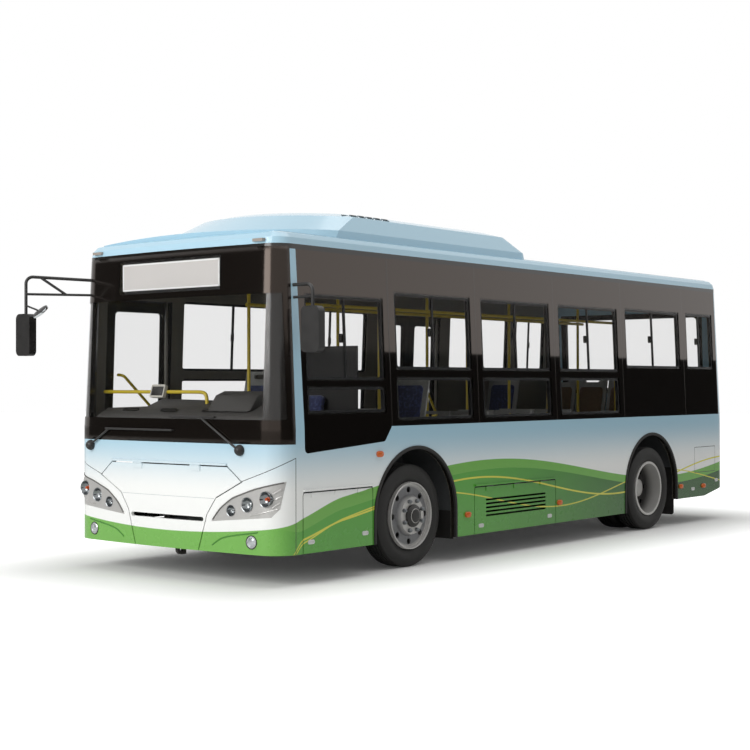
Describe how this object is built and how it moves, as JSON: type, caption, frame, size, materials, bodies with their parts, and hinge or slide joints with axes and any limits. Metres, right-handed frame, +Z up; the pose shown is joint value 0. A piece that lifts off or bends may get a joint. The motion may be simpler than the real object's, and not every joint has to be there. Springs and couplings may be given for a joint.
{
  "type": "low-floor city bus",
  "caption": "Short low-floor electric city bus with a roof pod, swinging doors, steered front and twin rear wheels.",
  "frame": {"origin": "on the road, under the middle of the overall box", "axes": "+X forward, +Y to the bus's left, +Z up"},
  "size_m": [8.4158, 3, 3.13],
  "materials": {
    "body_paint": "gloss",
    "pod_paint": "gloss",
    "glass": "gloss",
    "lamp_lens": "gloss",
    "red_lens": "gloss",
    "amber_lens": "gloss",
    "black_plastic": "satin",
    "dash_plastic": "matte",
    "floor_vinyl": "matte",
    "frame_steel": "matte",
    "wheel_paint": "satin",
    "tyre": "matte",
    "rubber": "matte",
    "seat_shell": "satin",
    "seat_fabric": "matte",
    "rail_paint": "gloss",
    "cast_alloy": "satin"
  },
  "bodies": {
    "body": {"chassis_frame": "frame_steel", "floor": "floor_vinyl", "left_wall": "body_paint", "right_wall": "body_paint", "rear_wall": "body_paint", "roof": "body_paint", "front_fascia": "body_paint", "roof_pod": "pod_paint", "windscreen": "glass", "left_windows": "glass", "right_windows": "glass", "rear_window": "glass", "headlamps": "lamp_lens", "tail_lamps": "red_lens", "marker_lamps": "amber_lens", "mirrors": "black_plastic", "wipers": "black_plastic", "mud_flaps": "rubber", "sign_box": "black_plastic", "dashboard": "dash_plastic", "steering_column": "dash_plastic", "driver_seat": "seat_fabric", "driver_partition": "black_plastic", "passenger_seats": "seat_shell", "handrails": "rail_paint", "front_axle": "frame_steel", "rear_axle": "frame_steel", "suspension": "rubber", "drive_motor": "cast_alloy", "battery_pack": "cast_alloy"},
    "front_flap": {"front_flap": "body_paint"},
    "hatch_front_left": {"hatch_front_left": "body_paint"},
    "hatch_mid_left": {"hatch_mid_left": "body_paint"},
    "rear_lid": {"rear_lid": "body_paint"},
    "door_front": {"door_front": "body_paint", "door_front_glass": "glass"},
    "door_mid_front": {"door_mid_front": "body_paint", "door_mid_front_glass": "glass"},
    "door_mid_rear": {"door_mid_rear": "body_paint", "door_mid_rear_glass": "glass"},
    "steering_wheel": {"steering_wheel": "black_plastic"},
    "knuckle_left": {"knuckle_left": "frame_steel"},
    "knuckle_right": {"knuckle_right": "frame_steel"},
    "front_wheel_left": {"wheel_front_left": "wheel_paint", "tyre_front_left": "tyre"},
    "front_wheel_right": {"wheel_front_right": "wheel_paint", "tyre_front_right": "tyre"},
    "rear_wheels_left": {"wheels_rear_left": "wheel_paint", "tyres_rear_left": "tyre"},
    "rear_wheels_right": {"wheels_rear_right": "wheel_paint", "tyres_rear_right": "tyre"}
  },
  "joints": [
    {"name": "steer_left", "type": "hinge", "parent": "body", "child": "knuckle_left", "pos_m": [1.978, 0.885, 0.457], "axis": [0, 0, 1], "range_deg": [-40, 40]},
    {"name": "steer_right", "type": "hinge", "parent": "body", "child": "knuckle_right", "pos_m": [1.978, -0.885, 0.457], "axis": [0, 0, 1], "range_deg": [-40, 40]},
    {"name": "steering_wheel_turn", "type": "hinge", "parent": "body", "child": "steering_wheel", "pos_m": [3.208, 0.6, 1.23], "axis": [-0.3746, 0, 0.9272], "range_deg": [-640, 640]},
    {"name": "front_left_spin", "type": "hinge", "parent": "knuckle_left", "child": "front_wheel_left", "pos_m": [1.978, 1.062, 0.457], "axis": [0, 1, 0], "continuous": true},
    {"name": "front_right_spin", "type": "hinge", "parent": "knuckle_right", "child": "front_wheel_right", "pos_m": [1.978, -1.062, 0.457], "axis": [0, 1, 0], "continuous": true},
    {"name": "rear_left_spin", "type": "hinge", "parent": "body", "child": "rear_wheels_left", "pos_m": [-2.322, 0.9625, 0.457], "axis": [0, 1, 0], "continuous": true},
    {"name": "rear_right_spin", "type": "hinge", "parent": "body", "child": "rear_wheels_right", "pos_m": [-2.322, -0.9625, 0.457], "axis": [0, 1, 0], "continuous": true},
    {"name": "door_front_swing", "type": "hinge", "parent": "body", "child": "door_front", "pos_m": [2.73, -1.165, 1.3], "axis": [0, 0, 1], "range_deg": [0, 88]},
    {"name": "door_mid_front_swing", "type": "hinge", "parent": "body", "child": "door_mid_front", "pos_m": [-0.534, -1.165, 1.3], "axis": [0, 0, -1], "range_deg": [0, 88]},
    {"name": "door_mid_rear_swing", "type": "hinge", "parent": "body", "child": "door_mid_rear", "pos_m": [-1.55, -1.165, 1.3], "axis": [0, 0, 1], "range_deg": [0, 88]},
    {"name": "front_flap_lift", "type": "hinge", "parent": "body", "child": "front_flap", "pos_m": [3.81506, 0, 0.955], "axis": [0, -1, 0], "range_deg": [0, 75]},
    {"name": "hatch_front_left_lift", "type": "hinge", "parent": "body", "child": "hatch_front_left", "pos_m": [3.038, 1.2563, 0.749], "axis": [1, 0, 0], "range_deg": [0, 85]},
    {"name": "hatch_mid_left_lift", "type": "hinge", "parent": "body", "child": "hatch_mid_left", "pos_m": [0.39, 1.2563, 0.661], "axis": [1, 0, 0], "range_deg": [0, 85]},
    {"name": "rear_lid_lift", "type": "hinge", "parent": "body", "child": "rear_lid", "pos_m": [-4.19568, 0, 1.239], "axis": [0, 1, 0], "range_deg": [0, 85]}
  ],
  "couplings": [
    {"joint": "steer_right", "follows": "steer_left", "ratio": 1},
    {"joint": "steering_wheel_turn", "follows": "steer_left", "ratio": 16}
  ]
}
